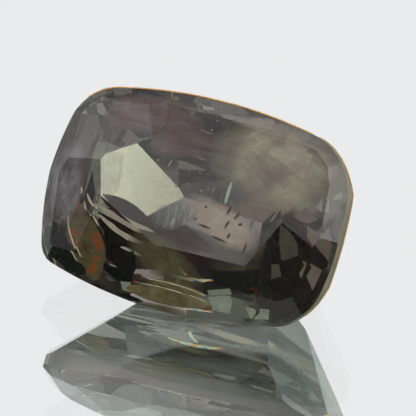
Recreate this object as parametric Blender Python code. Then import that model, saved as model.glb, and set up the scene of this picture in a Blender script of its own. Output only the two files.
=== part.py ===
"""Cushion-cut alexandrite: one loose stone, lying on a pavilion facet with its table turned up and forward.

The stone is cut from a block as a lapidary cuts it: every flat is one plane, given by its direction round the
girdle, its angle to the girdle plane and the height at which it meets the girdle wall. Lengths in the cutting
chart are millimetres. In the stone's own frame x runs along its length, y across it and z out of the table;
the girdle's upper edge is at z = 0.
"""
import math

import bmesh
import bpy
from mathutils import Matrix, Vector

MILLIMETRE = 0.001

# Outline of the girdle: four bowed sides joined by four round corners
HALF_LENGTH = 4.20
HALF_WIDTH = 2.95
SIDE_BOWS = {"right": 7.4, "far": 13.9, "left": 6.7, "near": 12.1}
CORNER_RADII = {"right_far": 1.84, "left_far": 1.45, "left_near": 0.62, "right_near": 1.43}
GIRDLE_STEP = 0.26
MERGE = 1e-5

# Crown: the table's height over the girdle; the lower tier as direction, angle and lift at the girdle wall;
# the upper tier as direction, angle and reach, which is how far from the middle line it meets the table
TABLE_HEIGHT = 0.55
LOWER_CROWN = [
    (10, 33.0, 0.0), (32, 34.0, 0.01), (54, 33.0, 0.01), (76, 32.0, 0.01), (90, 32.0, 0.01), (104, 32.0, 0.0),
    (128, 33.0, 0.01), (150, 34.0, 0.01), (170, 33.5, 0.0), (190, 33.5, 0.0), (218, 34.0, 0.0),
    (249, 31.0, 0.0), (264, 31.0, 0.0), (282, 31.0, 0.0), (308, 32.0, 0.01), (330, 34.0, 0.01),
    (350, 33.0, 0.0),
]
UPPER_CROWN = [
    (20, 11.0, 2.55), (62, 12.5, 1.90), (90, 14.5, 1.50), (122, 13.0, 2.05), (151, 15.0, 2.68),
    (196, 12.0, 2.47), (243, 6.0, 1.44), (271, 7.0, 1.28), (334, 8.0, 2.33),
]

# Pavilion: the upper tier, the mains and the last cut, which meet in the keel, each as direction, angle and
# drop at the girdle wall. The stone lies on the near main, which is turned a little from square.
RESTING_DIRECTION = 271.6
RESTING_ANGLE = 48.5
UPPER_PAVILION = [
    (0, 54.0, 0.40), (38, 55.0, 0.40), (90, 57.0, 0.40), (142, 56.0, 0.40), (180, 53.0, 0.40),
    (256, 56.0, 0.41), (287, 56.0, 0.41),
]
MAINS = [
    (RESTING_DIRECTION, RESTING_ANGLE, 0.46), (108, 45.8, 0.66), (85, 46.0, 0.67), (177, 43.5, 0.41),
    (148, 49.0, 0.48), (213, 46.0, 0.29), (321, 46.0, 0.24), (46, 48.0, 0.52),
]
LAST_CUTS = [(267, 40.2, 0.86)]

# Pose: how far the girdle plane leans out of level, so that the resting main lies flat
LEAN = RESTING_ANGLE

BODY_COLOUR = (0.36, 0.42, 0.31, 1.0)
BODY_ROUGHNESS = 0.03
REFRACTIVE_INDEX = 1.75


def direction(degrees):
    """Unit vector in the girdle plane."""
    turn = math.radians(degrees)
    return Vector((math.cos(turn), math.sin(turn), 0.0))


def corner_centre(one_centre, one_reach, other_centre, other_reach, quadrant):
    """Centre of a corner arc that touches two side arcs from inside, in the given quadrant."""
    between = other_centre - one_centre
    distance = between.length
    along = (one_reach ** 2 - other_reach ** 2 + distance ** 2) / (2 * distance)
    across = math.sqrt(one_reach ** 2 - along ** 2)
    unit = between / distance
    foot = one_centre + unit * along
    sideways = Vector((-unit.y, unit.x, 0.0)) * across
    return max((foot + sideways, foot - sideways), key=lambda point: point.dot(quadrant))


def outline_arcs():
    """The eight arcs of the outline as centre, radius, first and last direction in radians."""
    sides = [
        (Vector((HALF_LENGTH - SIDE_BOWS["right"], 0, 0)), SIDE_BOWS["right"]),
        (Vector((0, HALF_WIDTH - SIDE_BOWS["far"], 0)), SIDE_BOWS["far"]),
        (Vector((SIDE_BOWS["left"] - HALF_LENGTH, 0, 0)), SIDE_BOWS["left"]),
        (Vector((0, SIDE_BOWS["near"] - HALF_WIDTH, 0)), SIDE_BOWS["near"]),
    ]
    corners = [
        (CORNER_RADII["right_far"], Vector((1, 1, 0))), (CORNER_RADII["left_far"], Vector((-1, 1, 0))),
        (CORNER_RADII["left_near"], Vector((-1, -1, 0))), (CORNER_RADII["right_near"], Vector((1, -1, 0))),
    ]
    joins = []
    for place, (radius, quadrant) in enumerate(corners):
        one_centre, one_bow = sides[place]
        other_centre, other_bow = sides[(place + 1) % 4]
        centre = corner_centre(one_centre, one_bow - radius, other_centre, other_bow - radius, quadrant)
        first = math.atan2(*(centre - one_centre).yx) % math.tau
        last = math.atan2(*(centre - other_centre).yx) % math.tau
        joins.append((centre, radius, first, last))
    arcs = []
    for place, (centre, bow) in enumerate(sides):
        before = joins[place - 1][3]
        after = joins[place][2]
        arcs.append((centre, bow, before - math.tau if before > after else before, after))
        arcs.append(joins[place])
    return arcs


ARCS = outline_arcs()


def girdle_point(degrees):
    """The outline's point whose outward direction is the given one."""
    turn = math.radians(degrees) % math.tau
    for centre, radius, first, last in ARCS:
        for whole in (turn, turn - math.tau):
            if first - 1e-9 <= whole <= last + 1e-9:
                return centre + direction(degrees) * radius
    raise ValueError("no arc has that direction")


def cut(block, point, normal):
    """Saw the block along a plane, keep the side behind it and close the cut with one face."""
    everything = block.verts[:] + block.edges[:] + block.faces[:]
    sawn = bmesh.ops.bisect_plane(block, geom=everything, dist=MERGE, plane_co=point, plane_no=normal,
                                  clear_outer=True)
    rim = [part for part in sawn["geom_cut"] if isinstance(part, bmesh.types.BMEdge)]
    if len(rim) > 2:
        bmesh.ops.contextual_create(block, geom=rim)


def facet_normal(degrees, angle, side):
    """Outward normal of a facet; side is 1 on the crown and -1 on the pavilion."""
    lean = math.radians(angle)
    return direction(degrees) * math.sin(lean) + Vector((0, 0, side * math.cos(lean)))


def cut_girdle(block):
    """The wall: one narrow plane after another round each arc."""
    for centre, radius, first, last in ARCS:
        count = max(2, math.ceil(radius * (last - first) / GIRDLE_STEP))
        for step in range(count):
            turn = math.degrees(first + (last - first) * (step + 0.5) / count)
            outward = direction(turn)
            cut(block, centre + outward * radius, outward)


def cut_crown(block):
    """The lower tier from the girdle's wall, the upper tier from the table's edge, then the table."""
    for degrees, angle, lift in LOWER_CROWN:
        cut(block, girdle_point(degrees) + Vector((0, 0, lift)), facet_normal(degrees, angle, 1))
    for degrees, angle, reach in UPPER_CROWN:
        cut(block, direction(degrees) * reach + Vector((0, 0, TABLE_HEIGHT)), facet_normal(degrees, angle, 1))
    cut(block, Vector((0, 0, TABLE_HEIGHT)), Vector((0, 0, 1)))


def cut_pavilion(block):
    """Every tier down from the girdle's wall, the last cuts meeting in the keel."""
    for degrees, angle, drop in UPPER_PAVILION + MAINS + LAST_CUTS:
        cut(block, girdle_point(degrees) - Vector((0, 0, drop)), facet_normal(degrees, angle, -1))


def stone_mesh():
    """The whole stone in millimetres, in its own frame."""
    block = bmesh.new()
    bmesh.ops.create_cube(block, size=4 * HALF_LENGTH)
    cut_girdle(block)
    cut_crown(block)
    cut_pavilion(block)
    bmesh.ops.recalc_face_normals(block, faces=block.faces)
    return block


def body_material():
    """Clear grey-green crystal."""
    material = bpy.data.materials.new("alexandrite_crystal")
    material.use_nodes = True
    shader = material.node_tree.nodes["Principled BSDF"]
    shader.inputs["Base Color"].default_value = BODY_COLOUR
    shader.inputs["Roughness"].default_value = BODY_ROUGHNESS
    shader.inputs["Metallic"].default_value = 0.0
    shader.inputs["IOR"].default_value = REFRACTIVE_INDEX
    shader.inputs["Transmission Weight"].default_value = 1.0
    return material


def lay_down(block):
    """Lean the stone onto its resting main and put the middle of its box's floor at the origin, in metres."""
    square = Matrix.Rotation(math.radians(270 - RESTING_DIRECTION), 4, "Z")
    lean = Matrix.Rotation(math.radians(LEAN), 4, "X")
    bmesh.ops.transform(block, matrix=lean @ square, verts=block.verts)
    low = Vector([min(vertex.co[axis] for vertex in block.verts) for axis in range(3)])
    high = Vector([max(vertex.co[axis] for vertex in block.verts) for axis in range(3)])
    floor_middle = Vector(((low.x + high.x) / 2, (low.y + high.y) / 2, low.z))
    placing = Matrix.Scale(MILLIMETRE, 4) @ Matrix.Translation(-floor_middle)
    bmesh.ops.transform(block, matrix=placing, verts=block.verts)


def build():
    """Make the stone's object."""
    for old in list(bpy.data.objects):
        bpy.data.objects.remove(old, do_unlink=True)
    block = stone_mesh()
    lay_down(block)
    mesh = bpy.data.meshes.new("alexandrite_stone")
    block.to_mesh(mesh)
    block.free()
    mesh.materials.append(body_material())
    stone = bpy.data.objects.new("alexandrite_stone", mesh)
    bpy.context.scene.collection.objects.link(stone)


build()
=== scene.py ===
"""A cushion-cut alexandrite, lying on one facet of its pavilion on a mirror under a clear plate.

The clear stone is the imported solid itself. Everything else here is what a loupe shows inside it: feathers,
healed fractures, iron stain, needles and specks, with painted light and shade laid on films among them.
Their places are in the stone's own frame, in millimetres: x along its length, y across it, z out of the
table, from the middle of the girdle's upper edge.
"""
import math
import random

import bmesh
import bpy
from mathutils import Matrix, Vector, noise


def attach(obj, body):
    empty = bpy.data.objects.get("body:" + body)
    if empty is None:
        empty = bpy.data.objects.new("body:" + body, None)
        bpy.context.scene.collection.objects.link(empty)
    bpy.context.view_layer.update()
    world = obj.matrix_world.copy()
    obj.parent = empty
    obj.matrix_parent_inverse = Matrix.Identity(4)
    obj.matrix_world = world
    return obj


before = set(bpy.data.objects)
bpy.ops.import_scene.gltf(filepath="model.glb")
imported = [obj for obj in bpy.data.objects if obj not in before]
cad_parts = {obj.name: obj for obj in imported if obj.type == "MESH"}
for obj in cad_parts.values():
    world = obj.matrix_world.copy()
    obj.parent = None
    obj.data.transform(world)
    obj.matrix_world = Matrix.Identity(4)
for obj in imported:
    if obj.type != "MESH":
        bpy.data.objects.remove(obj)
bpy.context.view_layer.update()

# The cut stone: one clear crystal of chrysoberyl. Its facets are polished and its girdle is left frosted by
# the bruting wheel; the frosted edge of the far side and the right end is tinted orange as a painted colour
# fringe of light. Its colour is in its depth, so long ways through it are darker than short ones, and it is a
# little mauve to the left and green to the right.
MILLIMETRE = 0.001
TABLE_LEAN = math.radians(48.5)
TURN_IN_PLANE = math.radians(-1.6)
GIRDLE_CENTRE = Vector((-0.0002, -0.4223, 2.5169)) * MILLIMETRE
STONE_TO_WORLD = (Matrix.Translation(GIRDLE_CENTRE) @ Matrix.Rotation(TABLE_LEAN, 4, "X")
                  @ Matrix.Rotation(TURN_IN_PLANE, 4, "Z") @ Matrix.Scale(MILLIMETRE, 4))
TABLE_NORMAL = (STONE_TO_WORLD.to_3x3() @ Vector((0, 0, 1))).normalized()
WALL_TILT = 0.03
CHRYSOBERYL_IOR = 1.75
BODY_ABSORPTION = (0.27, 0.22, 0.2, 1.0)
BODY_DENSITY = 300.0
LEFT_TINT = (1.0, 0.97, 0.975, 1.0)
RIGHT_TINT = (0.99, 1.0, 0.97, 1.0)
TINT_BEGIN, TINT_END = -2.5 * MILLIMETRE, 1.5 * MILLIMETRE
FROST_ROUGHNESS = 0.42
FROST_GRAIN = 40000.0
FROST_STRENGTH = 0.12
FROST_DEPTH = 0.01 * MILLIMETRE
FRINGE_SIDE = (STONE_TO_WORLD.to_3x3() @ Vector((0.6, 0.8, 0))).normalized()
FRINGE_WIDTH = 0.09 * MILLIMETRE
FRINGE_TINT = (1.0, 0.50, 0.16, 1.0)


def add_node(tree, kind, inputs=None, **settings):
    """One shader node with its plain inputs and its settings."""
    node = tree.nodes.new(kind)
    for name, value in settings.items():
        setattr(node, name, value)
    for name, value in (inputs or {}).items():
        if isinstance(value, bpy.types.NodeSocket):
            tree.links.new(value, node.inputs[name])
        else:
            node.inputs[name].default_value = value
    return node


def maths(tree, operation, first, second):
    """A maths node's output."""
    return add_node(tree, "ShaderNodeMath", {0: first, 1: second}, operation=operation).outputs[0]


def dot_of(tree, vector, direction):
    """How far a vector points along a fixed direction."""
    product = add_node(tree, "ShaderNodeVectorMath", {0: vector, 1: direction}, operation="DOT_PRODUCT")
    return product.outputs["Value"]


def crystal_material():
    """Clear crystal with absorption in its depth; only the girdle's wall is rough, partly with a painted
    fringe.
    """
    material = bpy.data.materials.new("alexandrite_crystal")
    material.use_nodes = True
    tree = material.node_tree
    shader = tree.nodes["Principled BSDF"]
    shader.inputs["Transmission Weight"].default_value = 1.0
    shader.inputs["IOR"].default_value = CHRYSOBERYL_IOR
    facing = add_node(tree, "ShaderNodeNewGeometry").outputs["True Normal"]
    place = add_node(tree, "ShaderNodeTexCoord").outputs["Object"]
    tilt = maths(tree, "ABSOLUTE", dot_of(tree, facing, TABLE_NORMAL), 0.0)
    wall = maths(tree, "LESS_THAN", tilt, WALL_TILT)
    tree.links.new(maths(tree, "MULTIPLY", wall, FROST_ROUGHNESS), shader.inputs["Roughness"])

    zone = add_node(tree, "ShaderNodeMapRange",
                    {"Value": dot_of(tree, place, (1, 0, 0)), "From Min": TINT_BEGIN, "From Max": TINT_END})
    body = add_node(tree, "ShaderNodeMix", {"Factor": zone.outputs[0], "A": LEFT_TINT, "B": RIGHT_TINT},
                    data_type="RGBA")
    # Painted orange fringe of light: a band of the wall along its upper edge, on the far side and right end.
    upper_edge = GIRDLE_CENTRE.dot(TABLE_NORMAL) - FRINGE_WIDTH
    near_edge = maths(tree, "GREATER_THAN", dot_of(tree, place, TABLE_NORMAL), upper_edge)
    far_side = add_node(tree, "ShaderNodeMapRange",
                        {"Value": dot_of(tree, facing, FRINGE_SIDE), "From Min": 0.0, "From Max": 0.5})
    fringe_share = maths(tree, "MULTIPLY", maths(tree, "MULTIPLY", wall, near_edge), far_side.outputs[0])
    fringed_colour = add_node(tree, "ShaderNodeMix", {"Factor": fringe_share, "A": body.outputs["Result"], "B": FRINGE_TINT},
                     data_type="RGBA")
    tree.links.new(fringed_colour.outputs["Result"], shader.inputs["Base Color"])

    grit = add_node(tree, "ShaderNodeTexNoise", {"Vector": place, "Scale": FROST_GRAIN, "Detail": 2.0})
    relief = add_node(tree, "ShaderNodeBump", {"Strength": maths(tree, "MULTIPLY", wall, FROST_STRENGTH),
                                               "Distance": FROST_DEPTH, "Height": grit.outputs["Fac"]})
    tree.links.new(relief.outputs[0], shader.inputs["Normal"])
    depth = add_node(tree, "ShaderNodeVolumeAbsorption", {"Color": BODY_ABSORPTION, "Density": BODY_DENSITY})
    tree.links.new(depth.outputs["Volume"], tree.nodes["Material Output"].inputs["Volume"])
    return material


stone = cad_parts["alexandrite_stone"]
stone.data.materials.clear()
stone.data.materials.append(crystal_material())

# Fringe line: a painted orange fringe of light that stands as a fine warm line on the girdle's outer edge,
# from the near right corner round the right end to the far left corner. It follows the edge that the wall
# shares with the crown at the far side, and the one that it shares with the pavilion at the right end.
FRINGE_RADIUS = 0.020
FRINGE_SIDES = 6
FRINGE_OVERLAP = 0.004
FRINGE_BEGIN, FRINGE_TURN, FRINGE_END = -40, 78, 135
SAME_CORNER = 0.0005
FACET_TILT = 0.1
STAIN_ROUGHNESS = 0.5
STAIN_SHEEN = 0.2


def fringe_edges():
    """The girdle's edges that carry the line, as pairs of points in the stone's frame."""
    shell = bmesh.new()
    shell.from_mesh(stone.data)
    bmesh.ops.transform(shell, matrix=STONE_TO_WORLD.inverted() @ stone.matrix_world, verts=shell.verts)
    bmesh.ops.remove_doubles(shell, verts=shell.verts, dist=SAME_CORNER)
    pairs = []
    for edge in shell.edges:
        if len(edge.link_faces) != 2:
            continue
        wall, facet = sorted(edge.link_faces, key=lambda face: abs(face.normal.z))
        if abs(wall.normal.z) > WALL_TILT or abs(facet.normal.z) < FACET_TILT:
            continue
        facing = math.degrees(math.atan2(wall.normal.y, wall.normal.x))
        on_crown = FRINGE_TURN < facing < FRINGE_END and facet.normal.z > 0
        on_pavilion = FRINGE_BEGIN < facing <= FRINGE_TURN and facet.normal.z < 0
        if on_crown or on_pavilion:
            pairs.append((edge.verts[0].co.copy(), edge.verts[1].co.copy()))
    shell.free()
    return pairs


def painted_fringe_line():
    """A six-sided thread along each of those edges, as points and faces."""
    points = []
    faces = []
    for one, other in fringe_edges():
        along = (other - one).normalized()
        side = along.cross(Vector((0, 0, 1))).normalized()
        up = side.cross(along)
        base = len(points)
        for end, overlap in ((one, -FRINGE_OVERLAP), (other, FRINGE_OVERLAP)):
            for place in range(FRINGE_SIDES):
                turn = math.tau * place / FRINGE_SIDES
                outward = side * math.cos(turn) + up * math.sin(turn)
                points.append(end + along * overlap + outward * FRINGE_RADIUS)
        far = base + FRINGE_SIDES
        for place in range(FRINGE_SIDES):
            following = (place + 1) % FRINGE_SIDES
            faces.append((base + place, base + following, far + following, far + place))
        faces.append([far - 1 - place for place in range(FRINGE_SIDES)])
        faces.append([far + place for place in range(FRINGE_SIDES)])
    return points, faces


def riding_piece(name, points, faces, material):
    """A mesh in the stone's frame, riding with the stone."""
    mesh = bpy.data.meshes.new(name)
    mesh.from_pydata(points, [], faces)
    mesh.validate()
    mesh.materials.append(material)
    mesh.shade_smooth()
    piece = bpy.data.objects.new(name, mesh)
    bpy.context.scene.collection.objects.link(piece)
    piece.matrix_world = STONE_TO_WORLD
    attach(piece, "root")
    return piece


def film_material(name, tones, grain, cover, stretch=(1, 1, 1), turned=0.0, glow=0.0, wander=0.0, soft=False):
    """Film colour for stains and painted light: cloudy tones, and clear film where the cloud thins out.

    Cover is where the clear share begins and ends in the cloud, and how dense the film is in its thin and its
    thick places. Glow is painted light: emission in the film's tones that stands in for the light the film
    scatters. A soft one fades at its rim.
    """
    material = bpy.data.materials.new(name)
    material.use_nodes = True
    tree = material.node_tree
    shader = tree.nodes["Principled BSDF"]
    shader.inputs["Roughness"].default_value = STAIN_ROUGHNESS
    shader.inputs["Specular IOR Level"].default_value = STAIN_SHEEN
    place = add_node(tree, "ShaderNodeTexCoord").outputs["Object"]
    spread = add_node(tree, "ShaderNodeMapping", {"Vector": place, "Scale": stretch,
                                                  "Rotation": (0, 0, math.radians(turned))}).outputs[0]
    cloud = add_node(tree, "ShaderNodeTexNoise", {"Vector": spread, "Scale": grain, "Detail": 6.0,
                                                  "Roughness": 0.62, "Distortion": wander})
    colours = add_node(tree, "ShaderNodeValToRGB", {"Fac": cloud.outputs["Fac"]})
    ramp = colours.color_ramp
    while len(ramp.elements) < len(tones):
        ramp.elements.new(0.5)
    for stop, (spot, tone) in zip(ramp.elements, tones):
        stop.position = spot
        stop.color = (*tone, 1.0)
    tree.links.new(colours.outputs["Color"], shader.inputs["Base Color"])
    if glow:
        tree.links.new(colours.outputs["Color"], shader.inputs["Emission Color"])
        shader.inputs["Emission Strength"].default_value = glow
    fine = add_node(tree, "ShaderNodeTexNoise", {"Vector": spread, "Scale": grain * 2.3, "Detail": 5.0,
                                                 "Roughness": 0.7, "Distortion": wander})
    low, high, thin, thick = cover
    alpha = add_node(tree, "ShaderNodeMapRange",
                     {"Value": fine.outputs["Fac"], "From Min": low, "From Max": high, "To Min": thin,
                      "To Max": thick})
    density = alpha.outputs[0]
    if soft:
        fade = add_node(tree, "ShaderNodeAttribute", attribute_name="fade")
        density = maths(tree, "MULTIPLY", density, fade.outputs["Fac"])
    tree.links.new(density, shader.inputs["Alpha"])
    return material


# The fringe line's bright orange tones and slight glow are painted light.
FRINGE_MATERIAL = film_material("painted_fringe", [(0.36, (0.72, 0.34, 0.10)), (0.55, (0.98, 0.60, 0.22))], 1.6,
                  (0.32, 0.5, 0.45, 1.0), glow=0.12)
riding_piece("painted_fringe", *painted_fringe_line(), FRINGE_MATERIAL).data.shade_flat()

# Feathers: thin lens-shaped cracks under the left end of the table, one below the other. The upper one holds
# a mauve film, the middle one maroon. The light that comes through between them is painted as pale glowing
# curved bands.
FILM_STEPS = 30
FILM_SIDES = 6
FILM_THICKNESS = 0.014
TRIM = 0.01
MAUVE = film_material("mauve_film", [(0.3, (0.20, 0.135, 0.145)), (0.7, (0.29, 0.20, 0.21))], 1.4,
              (0.3, 0.6, 0.92, 1.0))
MAROON = film_material("maroon_film", [(0.3, (0.055, 0.018, 0.014)), (0.7, (0.14, 0.045, 0.036))], 2.2,
               (0.3, 0.6, 0.92, 1.0), stretch=(1, 2.5, 1))
# Painted light: pale glowing films for the light bands, the glints and the bright rims of the feathers.
PAINTED_LIGHT = film_material("painted_light_band", [(0.3, (0.72, 0.72, 0.55)), (0.7, (0.88, 0.88, 0.70))], 5.0, (0.2, 0.5, 0.88, 1.0),
             glow=0.30)


def stone_facets():
    """Every plane of the stone once, as its outward normal and its reach along it, in the stone's frame."""
    to_stone = STONE_TO_WORLD.inverted() @ stone.matrix_world
    planes = {}
    for face in stone.data.polygons:
        normal = (to_stone.to_3x3() @ face.normal).normalized()
        reach = normal.dot(to_stone @ stone.data.vertices[face.vertices[0]].co)
        planes[tuple(round(part, 3) for part in normal)] = (normal, reach)
    return list(planes.values())


FACETS = stone_facets()


def kept_inside(point, margin):
    """The point itself, or if it is beyond a facet, the place near it that lies a margin inside."""
    kept = Vector(point)
    for sweep in range(3):
        moved = False
        for normal, reach in FACETS:
            beyond = kept.dot(normal) - reach + margin
            if beyond > 0:
                kept -= normal * beyond
                moved = True
        if not moved:
            break
    return kept


def inside_piece(name, points, faces, material):
    """A mesh in the stone's frame, trimmed by its facets and riding with it."""
    return riding_piece(name, [kept_inside(point, TRIM) for point in points], faces, material)


def spine_point(start, middle, end, share):
    """A point on the curve that runs from start through middle to end."""
    pull = Vector(middle) * 2 - (Vector(start) + Vector(end)) / 2
    rest = 1 - share
    return Vector(start) * rest * rest + pull * 2 * share * rest + Vector(end) * share * share


def film_rim(here, side, up, across, face, half_width, swell, bow, rag, shift):
    """One point of a film's cross-section, with an uneven edge."""
    edge = half_width * swell * (1 + rag * noise.noise(here * 4 + shift + Vector((0, 0, 3 * (across > 0)))))
    height = bow * swell * (1 - across * across) + face * FILM_THICKNESS * swell * (1 - across * across) / 2
    ripple = rag * 0.06 * noise.noise(here * 6 + side * across * 2 + shift)
    return here + side * across * edge + up * (height + ripple)


def film(name, start, middle, end, half_width, material, bow=0.0, tilt=0.0, rag=0.0, blunt=0.8):
    """A thin closed leaf: its middle runs through three points, and its sides bow and tilt."""
    turn = random.Random(name)
    shift = Vector((turn.uniform(-9, 9), turn.uniform(-9, 9), 0))
    points = [Vector(start)]
    fades = [0.0]
    for step in range(1, FILM_STEPS):
        share = step / FILM_STEPS
        here = spine_point(start, middle, end, share)
        ahead = spine_point(start, middle, end, share + 0.01)
        along = (ahead - spine_point(start, middle, end, share - 0.01)).normalized()
        side = along.cross(Vector((0, 0, 1))).normalized()
        side = (Matrix.Rotation(math.radians(tilt), 3, along) @ side).normalized()
        up = side.cross(along)
        swell = math.sin(math.pi * share) ** blunt
        for face in (1, -1):
            for place in range(-FILM_SIDES * face, FILM_SIDES * face, face):
                across = place / FILM_SIDES
                points.append(film_rim(here, side, up, across, face, half_width, swell, bow, rag, shift))
                fades.append(min(1.0, 2 * (1 - abs(across))) * min(1.0, 3 * min(share, 1 - share)))
    points.append(Vector(end))
    fades.append(0.0)
    ring = 4 * FILM_SIDES
    last = len(points) - 1
    faces = []
    for place in range(ring):
        following = (place + 1) % ring
        faces.append((0, 1 + following, 1 + place))
        for step in range(FILM_STEPS - 2):
            base = 1 + step * ring
            faces.append((base + place, base + following, base + ring + following, base + ring + place))
        faces.append((last, last - ring + place, last - ring + following))
    piece = inside_piece(name, points, faces, material)
    fade = piece.data.attributes.new("fade", "FLOAT", "POINT")
    fade.data.foreach_set("value", fades)
    return piece


film("feather_upper", (-2.77, -0.26, -1.40), (-1.93, -0.50, -1.42), (-1.02, -0.83, -1.45), 0.20, MAUVE,
     bow=0.04)
film("band_upper", (-2.76, -0.50, -1.46), (-2.05, -0.74, -1.48), (-1.06, -0.91, -1.50), 0.125, PAINTED_LIGHT, bow=0.03)
film("feather_middle", (-2.74, -0.66, -1.40), (-1.90, -0.98, -1.42), (-1.14, -1.08, -1.45), 0.13, MAROON,
     bow=0.04)
film("band_middle", (-2.68, -0.73, -1.32), (-1.94, -1.08, -1.34), (-1.22, -1.20, -1.36), 0.075, PAINTED_LIGHT,
     bow=0.02, rag=0.5, blunt=0.6)
film("band_lower", (-1.84, -1.45, -1.30), (-1.50, -1.49, -1.30), (-1.18, -1.56, -1.30), 0.045, PAINTED_LIGHT, rag=0.4,
     blunt=0.6)

# Glints at the left end: the feathers' edges again, as thin bright slivers seen through the crown's left
# facets. They are clean crack edges with no filling, just under the crown; their brightness is a painted
# highlight.
film("glint_one", (-3.19, -0.20, -0.60), (-3.15, -0.30, -0.60), (-3.13, -0.40, -0.60), 0.028, PAINTED_LIGHT, blunt=0.5)
film("glint_two", (-2.97, -0.32, -0.60), (-2.84, -0.50, -0.60), (-2.62, -0.66, -0.60), 0.034, PAINTED_LIGHT, rag=0.4)
film("glint_three", (-2.97, -0.66, -0.60), (-2.92, -0.72, -0.60), (-2.86, -0.80, -0.60), 0.022, PAINTED_LIGHT)
film("glint_four", (-2.74, -0.84, -0.60), (-2.62, -0.96, -0.60), (-2.46, -1.12, -0.60), 0.026, PAINTED_LIGHT, rag=0.3)

# Dark grain: between the feathers and the near corner the crystal is full of fine dark grains of a second
# mineral, which lie on two healed sheets.
# This dark material also serves as painted shade: the sheets round the iron-stained feather and the near
# shade.
DARK_GRAIN_AND_SHADE = film_material("dark_grain_and_shade",
              [(0.40, (0.012, 0.016, 0.016)), (0.60, (0.035, 0.042, 0.036)), (0.75, (0.10, 0.11, 0.085))],
              7.0, (0.25, 0.5, 0.85, 0.98))
film("grain_sheet", (-2.72, -0.88, -1.42), (-1.98, -1.42, -1.36), (-1.32, -2.08, -1.15), 0.40, DARK_GRAIN_AND_SHADE, rag=0.1,
     blunt=0.5)
film("grain_sheet_right", (-1.85, -1.55, -1.42), (-1.45, -1.45, -1.42), (-1.00, -1.40, -1.42), 0.22, DARK_GRAIN_AND_SHADE,
     rag=0.3)

# Iron-stained feather: a leaf-shaped crack at the near left corner that water once entered. It left olive
# clay and rust in patches. Its edge towards the girdle is still clean and carries a thin painted highlight,
# and the dark round the leaf is painted shade: dark sheets at the corner and along its inner edge.
LEAF = film_material("olive_and_rust",
             [(0.36, (0.10, 0.04, 0.02)), (0.42, (0.09, 0.085, 0.035)), (0.55, (0.14, 0.12, 0.05)),
              (0.60, (0.30, 0.085, 0.015)), (0.72, (0.36, 0.06, 0.01))],
             2.4, (0.2, 0.42, 0.88, 1.0), glow=0.4)
film("iron_feather", (-3.20, -0.62, -0.80), (-2.72, -1.55, -0.76), (-2.14, -2.36, -0.62), 0.50, LEAF,
     bow=0.06, rag=0.1, blunt=0.6)
film("iron_feather_rim", (-3.34, -1.02, -0.70), (-3.17, -1.50, -0.68), (-2.60, -2.20, -0.60), 0.020, PAINTED_LIGHT,
     rag=0.4, blunt=0.4)
film("dark_corner", (-3.78, -1.45, -0.50), (-3.30, -1.95, -0.50), (-2.50, -2.30, -0.50), 0.26, DARK_GRAIN_AND_SHADE, rag=0.2,
     blunt=0.5)
film("iron_feather_edge", (-2.95, -0.76, -0.72), (-2.30, -1.36, -0.72), (-1.97, -2.05, -0.62), 0.03, DARK_GRAIN_AND_SHADE,
     rag=0.3, blunt=0.4)

# Left mist: a thin mauve-grey haze of tiny hollows under the crown at the left end, above the leaf. It
# scatters a little light and veils what lies behind it.
MIST = film_material("left_mist",
             [(0.36, (0.085, 0.075, 0.080)), (0.5, (0.15, 0.14, 0.148)), (0.64, (0.22, 0.225, 0.24))],
             2.6, (0.34, 0.66, 0.45, 0.85), stretch=(1.3, 0.7, 1), turned=15, glow=0.8, soft=True)
film("mist_sheet", (-3.66, 0.95, -0.62), (-3.58, -0.20, -0.60), (-3.40, -1.45, -0.55), 0.42, MIST, rag=0.15,
     blunt=0.4)

# Clay-filled feather: a second lens along the near girdle, olive brown, with a thin painted highlight along
# its upper rim and a rusty tip, and an olive veil in the crystal above it.
CLAY = film_material("olive_clay",
             [(0.32, (0.10, 0.095, 0.04)), (0.5, (0.17, 0.14, 0.06)), (0.68, (0.26, 0.21, 0.11))],
             2.6, (0.2, 0.45, 0.86, 1.0), stretch=(1, 1.5, 1), glow=0.4)
OLIVE = film_material("olive_veil", [(0.35, (0.075, 0.07, 0.035)), (0.65, (0.13, 0.12, 0.06))], 2.4,
              (0.3, 0.6, 0.7, 0.95), glow=0.6, soft=True)
RUST = film_material("rust", [(0.35, (0.30, 0.04, 0.012)), (0.65, (0.60, 0.15, 0.03))], 4.0, (0.3, 0.55, 0.6, 1.0))
film("clay_feather", (-1.30, -2.42, -0.45), (-0.10, -2.32, -0.50), (1.14, -2.30, -0.45), 0.27, CLAY, bow=0.05,
     rag=0.12, blunt=0.55)
film("clay_feather_rim", (-1.14, -2.20, -0.42), (-0.02, -2.12, -0.44), (0.98, -2.22, -0.42), 0.012, PAINTED_LIGHT,
     rag=0.6, blunt=0.4)
film("clay_feather_tip", (0.86, -2.46, -0.44), (1.02, -2.42, -0.44), (1.16, -2.32, -0.44), 0.05, RUST,
     rag=0.4)
film("clay_feather_root", (-1.16, -2.16, -0.42), (-1.04, -2.12, -0.42), (-0.92, -2.12, -0.42), 0.035, RUST,
     rag=0.4)
film("olive_sheet", (-1.70, -1.10, -1.20), (-0.60, -1.50, -1.22), (0.75, -2.02, -1.10), 0.52, OLIVE, rag=0.12,
     blunt=0.4)

# Healed fracture: a grey patch of short slanting streaks between the bright left end and the middle. Each
# streak is a row of droplets that stayed behind when the crack grew shut.
STREAKS = film_material("healed_streaks",
                [(0.40, (0.13, 0.14, 0.13)), (0.55, (0.22, 0.23, 0.21)), (0.66, (0.50, 0.54, 0.47))],
                3.2, (0.3, 0.6, 0.45, 0.85), stretch=(2.6, 0.6, 1), turned=-38, glow=0.6, soft=True)
film("healed_fracture", (-1.32, -0.62, -1.50), (-0.68, -0.34, -1.50), (-0.02, -0.08, -1.50), 0.38, STREAKS,
     rag=0.2, blunt=0.45)

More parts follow.
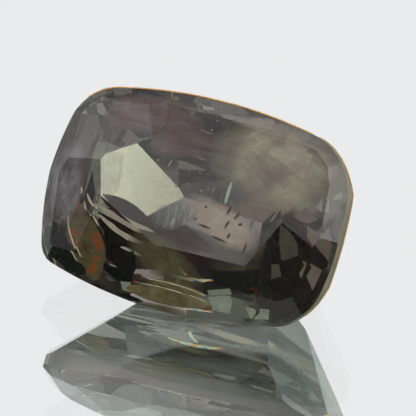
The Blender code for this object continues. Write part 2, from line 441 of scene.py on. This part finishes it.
# Needles: one pale hollow tube, running down from the middle of the far side, and a much finer one to its
# left. Both grew with the crystal.
HOLLOW = film_material("hollow_tube", [(0.3, (0.33, 0.42, 0.34)), (0.7, (0.44, 0.54, 0.43))], 3.0,
               (0.2, 0.5, 0.8, 1.0), glow=0.7)
film("needle", (0.75, 0.92, -1.00), (0.72, 0.62, -1.04), (0.71, 0.30, -1.08), 0.045, HOLLOW, blunt=0.35)
film("needle_short", (-1.05, 1.10, -1.00), (-1.08, 1.00, -1.02), (-1.12, 0.88, -1.04), 0.012, HOLLOW)

# Growth bands: wavy red-brown layers at the far left, laid down as the crystal grew, with a rusty thread
# across their right end.
BANDS = film_material("growth_bands",
              [(0.36, (0.080, 0.027, 0.025)), (0.48, (0.095, 0.048, 0.044)), (0.62, (0.12, 0.095, 0.092))],
              1.5, (0.38, 0.58, 0.48, 1.0), stretch=(0.8, 2.8, 1), turned=-6, wander=0.2, glow=0.7, soft=True)
THREAD = film_material("rusty_thread", [(0.4, (0.32, 0.22, 0.10)), (0.6, (0.50, 0.20, 0.07))], 3.0,
               (0.35, 0.6, 0.3, 1.0))
film("band_sheet", (-3.30, 1.70, -0.80), (-2.00, 1.96, -0.82), (-0.30, 2.02, -0.85), 0.52, BANDS, rag=0.1,
     blunt=0.4)
film("band_sheet_low", (-1.95, 1.20, -1.40), (-1.10, 1.50, -1.42), (0.20, 1.60, -1.40), 0.34, BANDS, rag=0.2,
     blunt=0.5)
film("thread_down", (-1.42, 2.52, -0.60), (-1.44, 2.20, -0.66), (-1.45, 1.72, -0.80), 0.028, THREAD, rag=0.9,
     blunt=0.4)
film("thread_along", (-1.45, 1.74, -0.80), (-1.66, 1.68, -0.80), (-1.92, 1.74, -0.80), 0.016, THREAD, rag=0.9)

# Cloud: a mottled veil of fine brown and green haze in the far right part of the stone, made of hollows too
# small to be seen one by one.
CLOUD = film_material("mottled_cloud",
              [(0.36, (0.19, 0.15, 0.115)), (0.5, (0.28, 0.255, 0.18)), (0.64, (0.34, 0.34, 0.235))],
              1.1, (0.34, 0.70, 0.35, 0.72), stretch=(1, 1.5, 1), turned=32, glow=0.75, soft=True)
film("cloud_sheet", (-0.10, 1.35, -0.90), (1.80, 1.50, -0.92), (3.95, 0.90, -0.75), 1.10, CLOUD, rag=0.1,
     blunt=0.4)

# Pink veil: a pale sheet in the middle right, pitted with a few short dark marks. A mark is given by its
# middle, its slant in degrees and half its length.
VEIL = film_material("pink_veil", [(0.35, (0.38, 0.31, 0.245)), (0.65, (0.48, 0.41, 0.335))], 1.6,
             (0.25, 0.6, 0.35, 0.80), stretch=(1, 2, 1), glow=0.75, soft=True)
PIT = film_material("dark_pit", [(0.3, (0.07, 0.05, 0.05)), (0.7, (0.15, 0.12, 0.11))], 3.0, (0.2, 0.5, 0.6, 0.95))
PITS = [(0.80, 0.16, 75, 0.15), (0.84, -0.22, 70, 0.14), (1.05, 0.06, 60, 0.13), (1.20, -0.13, 30, 0.07),
        (0.97, -0.50, 80, 0.10), (1.50, -0.72, 85, 0.16), (0.25, -0.42, -5, 0.20), (0.72, -0.66, -8, 0.24),
        (0.14, 0.10, 50, 0.05), (-0.06, -0.28, 50, 0.05)]
PIT_HEIGHT = -1.52
PIT_HALF_WIDTH = 0.035
film("veil_sheet", (-0.55, 0.26, -1.60), (0.80, -0.28, -1.60), (1.75, -0.62, -1.60), 0.50, VEIL, rag=0.1,
     blunt=0.35)
for count, (across, along, slant, reach) in enumerate(PITS):
    run = Vector((math.cos(math.radians(slant)), math.sin(math.radians(slant)), 0)) * reach
    middle = Vector((across, along, PIT_HEIGHT))
    film("pit_%02d" % count, middle - run, middle, middle + run, PIT_HALF_WIDTH, PIT, rag=0.5)

# Broken end: the right end is crazed with small dark and rust-red cracks that stand at all angles, over a
# dark sheet of painted shade. Every third crack is rusty.
CRACK = film_material("crack_dark", [(0.35, (0.015, 0.010, 0.010)), (0.65, (0.06, 0.035, 0.03))], 3.0,
              (0.25, 0.5, 0.7, 1.0))
RED = film_material("crack_red", [(0.35, (0.12, 0.018, 0.014)), (0.65, (0.26, 0.05, 0.035))], 3.0,
            (0.25, 0.5, 0.5, 0.95))
SHADE = film_material("shade", [(0.4, (0.012, 0.009, 0.009)), (0.62, (0.03, 0.024, 0.020))], 2.0,
              (0.3, 0.6, 0.5, 0.85), glow=0.5, soft=True)
CRACK_COUNT = 26
CRACK_SLANTS = (-55, -38, 48, 62)
CRACK_MARGIN = 0.15
crazing = random.Random(41)
for count in range(CRACK_COUNT):
    middle = Vector((crazing.uniform(2.15, 3.45), crazing.uniform(-1.55, 0.55), crazing.uniform(-1.5, -0.7)))
    middle = kept_inside(middle, CRACK_MARGIN)
    slant = math.radians(crazing.choice(CRACK_SLANTS) + crazing.uniform(-9, 9))
    run = Vector((math.cos(slant), math.sin(slant), crazing.uniform(-0.4, 0.4))) * crazing.uniform(0.08, 0.24)
    film("crack_%02d" % count, middle - run, middle, middle + run, crazing.uniform(0.018, 0.06),
         RED if count % 3 == 0 else CRACK, tilt=crazing.uniform(-50, 50), rag=0.4)
film("shade_sheet", (1.45, -1.15, -1.45), (2.50, -1.10, -1.35), (3.55, -0.60, -1.15), 0.85, SHADE, rag=0.1,
     blunt=0.4)

# Dark plates: larger cleavage cracks among the small ones at the right end, flat and angular, almost black.
# They split along the crystal's own directions, so their sides are straight.
CLEAVAGES = [
    [(2.65, 0.1), (2.8, 0.1), (3.15, -0.15), (3.35, -0.3), (3.75, -0.5), (3.75, -0.65), (3.6, -0.75),
     (3.2, -0.5), (3.05, -0.3), (2.85, -0.15)],
    [(2.3, -0.55), (2.5, -0.4), (2.6, -0.75), (2.75, -0.8), (2.6, -0.85), (2.4, -0.85)],
    [(2.75, -0.8), (3.05, -0.55), (3.3, -0.75), (3.2, -1.05), (2.9, -1)],
    [(2.55, -1.35), (2.85, -1.15), (3.2, -1.05), (3.5, -1.35), (3.4, -1.75), (3.1, -2), (2.8, -2.1)],
]
CLEAVAGE_HEIGHT = -0.70
PANE_THICKNESS = 0.012


def flat_plate(name, corners, height, material):
    """A flat closed plate with the given corners."""
    count = len(corners)
    points = [Vector((across, along, height + lift))
              for lift in (0, PANE_THICKNESS) for across, along in corners]
    faces = [list(range(count)), [2 * count - 1 - place for place in range(count)]]
    for place in range(count):
        following = (place + 1) % count
        faces.append((following, place, count + place, count + following))
    piece = inside_piece(name, points, faces, material)
    piece.data.shade_flat()
    return piece


for count, corners in enumerate(CLEAVAGES):
    flat_plate("plate_%02d" % count, corners, CLEAVAGE_HEIGHT, CRACK)

# Fragments: between the dark plates lie angular pieces that mirror more light, brown grey to pale; the
# mirrored light is painted into their tones and glow. They are the same cleavage cracks where air has entered
# them.
FRAGMENT_HEIGHT = -0.74
FRAGMENT_TONES = {"dim": (0.075, 0.075, 0.062), "brown": (0.155, 0.128, 0.102), "pale": (0.27, 0.29, 0.25)}
FRAGMENT_SHADE = 0.75
FRAGMENTS = [
    ("dim", [(2.35, 0.15), (2.6, 0.05), (2.95, -0.25), (3.05, -0.55), (2.65, -0.8), (2.45, -0.35)]),
    ("brown", [(2.6, 0.35), (2.9, 0.7), (3.3, 0.45), (3.05, 0.3), (2.85, 0.3)]),
    ("brown", [(3.05, 0.25), (3.35, 0.1), (3.45, 0.35), (3.65, 0), (3.7, -0.45), (3.35, -0.3),
               (3.15, -0.15)]),
    ("brown", [(3.1, -0.7), (3.25, -0.65), (3.6, -0.75), (3.5, -1.35), (3.2, -1)]),
    ("dim", [(2.4, -0.95), (2.6, -0.9), (2.75, -1.2), (2.5, -1.35)]),
    ("pale", [(3.4, 1.2), (3.55, 1.35), (3.65, 1.2), (3.35, 1.05)]),
    ("pale", [(3.15, 0.75), (3.25, 1.05), (3.35, 0.7)]),
]
for tone, colour in FRAGMENT_TONES.items():
    darker = tuple(part * FRAGMENT_SHADE for part in colour)
    pane = film_material("fragment_" + tone, [(0.4, darker), (0.6, colour)], 2.0, (0.3, 0.6, 0.75, 0.95), glow=0.7)
    for count, (kind, corners) in enumerate(FRAGMENTS):
        if kind == tone:
            flat_plate("fragment_%02d" % count, corners, FRAGMENT_HEIGHT, pane)

# Near panes: three pale sage cleavage panes just under the crown along the near side, and a dark sheet of
# painted shade farther in.
NEAR_PANE_HEIGHT = -0.52
NEAR_SHADE_HEIGHT = -0.70
NEAR_PANES = [
    [(0.95, -2.05), (1.55, -1.85), (1.65, -2), (1.65, -2.4), (1.15, -2.4)],
    [(-1.5, -2.25), (-1.2, -2.2), (-1.15, -2.5), (-1.4, -2.5)],
    [(2.05, -2.1), (2.7, -2), (2.75, -2.3), (2.25, -2.4)],
]
NEAR_SHADE = [(0.8, -1.45), (1.6, -1.4), (2.15, -1.45), (2.35, -1.75), (2.1, -1.85), (1.05, -1.8)]
SAGE = film_material("near_pane", [(0.4, (0.15, 0.175, 0.135)), (0.6, (0.20, 0.235, 0.18))], 2.0,
             (0.3, 0.6, 0.55, 0.85), glow=0.8)
for count, corners in enumerate(NEAR_PANES):
    flat_plate("near_pane_%02d" % count, corners, NEAR_PANE_HEIGHT, SAGE)
flat_plate("near_shade", NEAR_SHADE, NEAR_SHADE_HEIGHT, DARK_GRAIN_AND_SHADE)

# Rust creep: iron stain that has crept along one long edge of the broken end, from the fragments down to
# the girdle, as two thin ragged runs.
film("rust_creep_upper", (2.59, 0.38, -0.66), (2.76, 0.30, -0.66), (2.98, 0.08, -0.66), 0.03, RED, rag=0.5)
film("rust_creep_lower", (2.98, 0.06, -0.66), (3.32, -0.24, -0.66), (3.72, -0.46, -0.66), 0.035, RED, rag=0.5)

# Thin haze: a faint flat sheet of haze over the left part of the bright patch that shows through the table.
# It ends in straight sides, as a healed cleavage does.
HAZE_HEIGHT = -1.4
HAZE_CORNERS = [(-3, 1), (-2.45, 0.9), (-2.35, -0.05), (-2.7, -0.45), (-3.1, 0.45)]
HAZE = film_material("faint_haze", [(0.4, (0.30, 0.33, 0.26)), (0.6, (0.36, 0.39, 0.31))], 1.2,
             (0.3, 0.6, 0.12, 0.26), glow=0.8)
flat_plate("faint_sheet", HAZE_CORNERS, HAZE_HEIGHT, HAZE)

# Curl: a small red-brown scroll of rust under the near right part of the crown, in three short strokes that
# follow a curved crack.
CURL = film_material("curl_rust", [(0.35, (0.14, 0.02, 0.012)), (0.65, (0.42, 0.09, 0.04))], 5.0,
             (0.3, 0.5, 0.5, 1.0))
film("curl_upper", (2.00, -1.80, -0.50), (2.20, -1.74, -0.50), (2.30, -1.92, -0.50), 0.04, CURL, rag=0.5,
     blunt=0.5)
film("curl_lower", (2.12, -2.02, -0.50), (2.40, -2.10, -0.50), (2.30, -2.38, -0.50), 0.05, CURL, rag=0.5,
     blunt=0.5)
film("curl_tail", (2.08, -2.40, -0.50), (2.18, -2.46, -0.50), (2.34, -2.36, -0.50), 0.035, CURL, rag=0.5,
     blunt=0.5)

# Rainbow feather: a very thin crack just inside the facet that the stone lies on. Light that passes it is
# split into blue, straw yellow and orange streaks, painted here as the film's colour and glow. A red-brown
# grain sits beside it.
RAINBOW = film_material("rainbow_film",
                [(0.38, (0.06, 0.20, 0.55)), (0.46, (0.55, 0.72, 0.70)), (0.54, (0.75, 0.66, 0.30)),
                 (0.62, (0.70, 0.25, 0.08))],
                3.4, (0.35, 0.6, 0.2, 1.0), stretch=(0.8, 3.0, 3.0), glow=0.7)
film("rainbow_long", (-0.72, -1.78, -1.42), (0.15, -1.82, -1.36), (0.90, -1.66, -1.46), 0.07, RAINBOW,
     tilt=-48.5, rag=0.5, blunt=0.5)
film("rainbow_short", (-0.24, -1.44, -1.80), (-0.12, -1.58, -1.64), (0.16, -1.74, -1.46), 0.05, RAINBOW,
     tilt=-20, rag=0.4, blunt=0.5)
film("red_grain", (2.12, -1.82, -1.26), (2.20, -1.85, -1.24), (2.28, -1.88, -1.22), 0.04, RED, tilt=-48.5,
     rag=0.5)

# Specks: fine pale and dark crumbs of other minerals, mostly below the middle of the table, each a tiny
# lump. Ten of them are large enough to be seen singly.
SPECK_SPOTS = [(-2.17, 0.57), (-1.51, 1.01), (-1.42, 1.51), (-0.59, 0.93), (-0.54, 0.58), (-0.83, 0.45),
               (-0.27, 0.95), (-0.29, 1.95), (-0.10, 0.50), (0.10, 0.62)]
SPECK_HEIGHT = -1.5
FINE_SPECK_COUNT = 36
SPECK_PALE = film_material("speck_pale", [(0.3, (0.62, 0.66, 0.56)), (0.7, (0.80, 0.82, 0.72))], 3.0,
                   (0.1, 0.3, 0.7, 1.0), glow=0.15)


def speck(name, centre, size, material):
    """A lump with uneven sides."""
    lump = bmesh.new()
    bmesh.ops.create_icosphere(lump, subdivisions=2, radius=size)
    for vertex in lump.verts:
        vertex.co *= 1 + 0.5 * noise.noise(vertex.co / size + Vector(centre) * 5)
        vertex.co += Vector(centre)
    points = [vertex.co.copy() for vertex in lump.verts]
    faces = [[vertex.index for vertex in face.verts] for face in lump.faces]
    lump.free()
    return inside_piece(name, points, faces, material)


for count, (across, along) in enumerate(SPECK_SPOTS):
    speck("speck_pale_%02d" % count, (across, along, SPECK_HEIGHT), 0.020 + 0.008 * (count % 3), SPECK_PALE)
scatter = random.Random(7)
for count in range(FINE_SPECK_COUNT):
    spot = (scatter.uniform(-1.6, 1.4), scatter.uniform(-0.4, 1.7), scatter.uniform(-2.4, -0.9))
    speck("speck_fine_%02d" % count, spot, scatter.uniform(0.006, 0.014), SPECK_PALE if count % 3 else PIT)

# The surface that the stone lies on: a clear plate two millimetres thick over a mirror, so the stone's
# image stands a little below the stone. It isn't part of the object.
PLATE_HALF_SIDE = 0.2
PLATE_DEPTH = 0.002
PLATE_GAP = 0.00003
PLATE_IOR = 1.5
SILVER = (0.82, 0.915, 0.87, 1.0)


def flat_sheet(name, height, material):
    """A level square."""
    side = PLATE_HALF_SIDE
    mesh = bpy.data.meshes.new(name)
    corners = [(-side, -side, height), (side, -side, height), (side, side, height), (-side, side, height)]
    mesh.from_pydata(corners, [], [(0, 1, 2, 3)])
    mesh.materials.append(material)
    sheet = bpy.data.objects.new(name, mesh)
    bpy.context.scene.collection.objects.link(sheet)
    return sheet


silvering = bpy.data.materials.new("silvering")
silvering.use_nodes = True
silver_shader = silvering.node_tree.nodes["Principled BSDF"]
silver_shader.inputs["Base Color"].default_value = SILVER
silver_shader.inputs["Metallic"].default_value = 1.0
silver_shader.inputs["Roughness"].default_value = 0.0
flat_sheet("plate_back", -PLATE_DEPTH, silvering)

clear_plate = bpy.data.materials.new("clear_plate")
clear_plate.use_nodes = True
plate_tree = clear_plate.node_tree
plate_tree.nodes.remove(plate_tree.nodes["Principled BSDF"])
plate_glass = add_node(plate_tree, "ShaderNodeBsdfGlass", {"Roughness": 0.0, "IOR": PLATE_IOR})
plate_tree.links.new(plate_glass.outputs[0], plate_tree.nodes["Material Output"].inputs["Surface"])
flat_sheet("plate_face", -PLATE_GAP, clear_plate)

# The studio: white card all round, and flags with soft edges, dark and light, which the facets mirror. They
# are what gives a cut stone its contrast. A flag is given by the direction in which it stands, in degrees,
# and by where its full tone ends and its soft edge ends. The last one is the white card behind the stone.
CAMERA_AZIMUTH = math.radians(20.9)
CAMERA_HEIGHT = math.radians(36.0)
CARD = (0.84, 0.85, 0.855, 1.0)
FLAGS = [
    {"azimuth": 138, "height": 33, "core": 30, "edge": 33, "tone": (1.42, 1.42, 1.08, 1.0)},
    {"azimuth": 214.5, "height": 21.5, "core": 27, "edge": 30, "tone": (0.21, 0.25, 0.21, 1.0)},
    {"azimuth": 36, "height": 37.5, "core": 46, "edge": 54.5, "tone": (0.10, 0.10, 0.085, 1.0)},
    {"azimuth": 299, "height": 60, "core": 27, "edge": 30, "tone": (1.5, 1.5, 1.5, 1.0)},
    {"azimuth": 318, "height": 2.5, "core": 22.5, "edge": 25.5, "tone": (0.05, 0.06, 0.06, 1.0)},
    {"azimuth": 15.5, "height": 46, "core": 24, "edge": 27, "tone": (0.20, 0.17, 0.17, 1.0)},
    {"azimuth": 323, "height": 41.5, "core": 5.5, "edge": 8.5, "tone": (0.15, 0.15, 0.1, 1.0)},
    {"azimuth": 3.5, "height": 79, "core": 17.5, "edge": 40.5, "tone": (0.79, 0.75, 0.74, 1.0)},
    {"azimuth": 87, "height": 43.5, "core": 24.5, "edge": 27.5, "tone": (1.5, 1.5, 1.5, 1.0)},
    {"azimuth": 266, "height": 61, "core": 14.5, "edge": 19, "tone": (0.18, 0.22, 0.18, 1.0)},
    {"azimuth": 9, "height": 7, "core": 25.5, "edge": 28.5, "tone": (0.43, 0.42, 0.38, 1.0)},
    {"azimuth": 2, "height": 37.5, "core": 2, "edge": 6, "tone": (0.02, 0.05, 0.02, 1.0)},
    {"azimuth": 333, "height": 32, "core": 5, "edge": 9, "tone": (0.07, 0.06, 0.06, 1.0)},
    {"azimuth": 313, "height": 29, "core": 5, "edge": 9, "tone": (0.34, 0.33, 0.35, 1.0)},
    {"azimuth": 200.9, "height": 36, "core": 7, "edge": 13, "tone": (1.0, 0.912, 0.965, 1.0)},
]


def towards(azimuth, height):
    """Unit vector from the stone; azimuth 0 is the viewer's side and 90 is the right."""
    return Vector((math.sin(azimuth) * math.cos(height), -math.cos(azimuth) * math.cos(height),
                   math.sin(height)))


def light_the_studio():
    """World light by direction alone: each flag is laid over the white card and the flags before it."""
    world = bpy.data.worlds.new("studio")
    world.use_nodes = True
    tree = world.node_tree
    place = add_node(tree, "ShaderNodeTexCoord")
    tone = CARD
    for flag in FLAGS:
        centre = towards(math.radians(flag["azimuth"]), math.radians(flag["height"]))
        cover = add_node(tree, "ShaderNodeMapRange",
                         {"Value": dot_of(tree, place.outputs["Generated"], centre),
                          "From Min": math.cos(math.radians(flag["edge"])),
                          "From Max": math.cos(math.radians(flag["core"]))}, interpolation_type="SMOOTHSTEP")
        laid = add_node(tree, "ShaderNodeMix", {"Factor": cover.outputs[0], "A": tone, "B": flag["tone"]},
                        data_type="RGBA")
        tone = laid.outputs["Result"]
    tree.links.new(tone, tree.nodes["Background"].inputs["Color"])
    bpy.context.scene.world = world


light_the_studio()

# The camera: a long macro lens, so the stone shows almost without perspective. It looks down at the stone
# from the front right, and aims a little beside it.
CAMERA_DISTANCE = 0.30
FRAME_PIXELS = 416
PIXEL = MILLIMETRE / 37.0
GIRDLE_CENTRE_FROM_MIDDLE = (-13.7, 1.4)
SENSOR_WIDTH = 36
BOUNCES = 24
MIRROR_BOUNCES = 12
CLEAR_BOUNCES = 32


def place_camera():
    """Aims beside the girdle's centre, so that the centre falls where the photograph has it."""
    to_camera = towards(CAMERA_AZIMUTH, CAMERA_HEIGHT)
    right = Vector((math.cos(CAMERA_AZIMUTH), math.sin(CAMERA_AZIMUTH), 0))
    up = to_camera.cross(right)
    aim = GIRDLE_CENTRE - (right * GIRDLE_CENTRE_FROM_MIDDLE[0] + up * GIRDLE_CENTRE_FROM_MIDDLE[1]) * PIXEL
    data = bpy.data.cameras.new("camera")
    data.sensor_width = SENSOR_WIDTH
    data.lens = SENSOR_WIDTH * CAMERA_DISTANCE / (FRAME_PIXELS * PIXEL)
    data.clip_start = 0.01
    data.clip_end = 10
    camera = bpy.data.objects.new("camera", data)
    stance = Matrix((right, up, to_camera)).transposed().to_4x4()
    stance.translation = aim + to_camera * CAMERA_DISTANCE
    camera.matrix_world = stance
    bpy.context.scene.collection.objects.link(camera)
    bpy.context.scene.camera = camera


place_camera()
scene = bpy.context.scene
scene.view_settings.view_transform = "Standard"
scene.cycles.max_bounces = BOUNCES
scene.cycles.transmission_bounces = BOUNCES
scene.cycles.glossy_bounces = MIRROR_BOUNCES
scene.cycles.transparent_max_bounces = CLEAR_BOUNCES
scene.cycles.caustics_refractive = True
scene.cycles.caustics_reflective = True
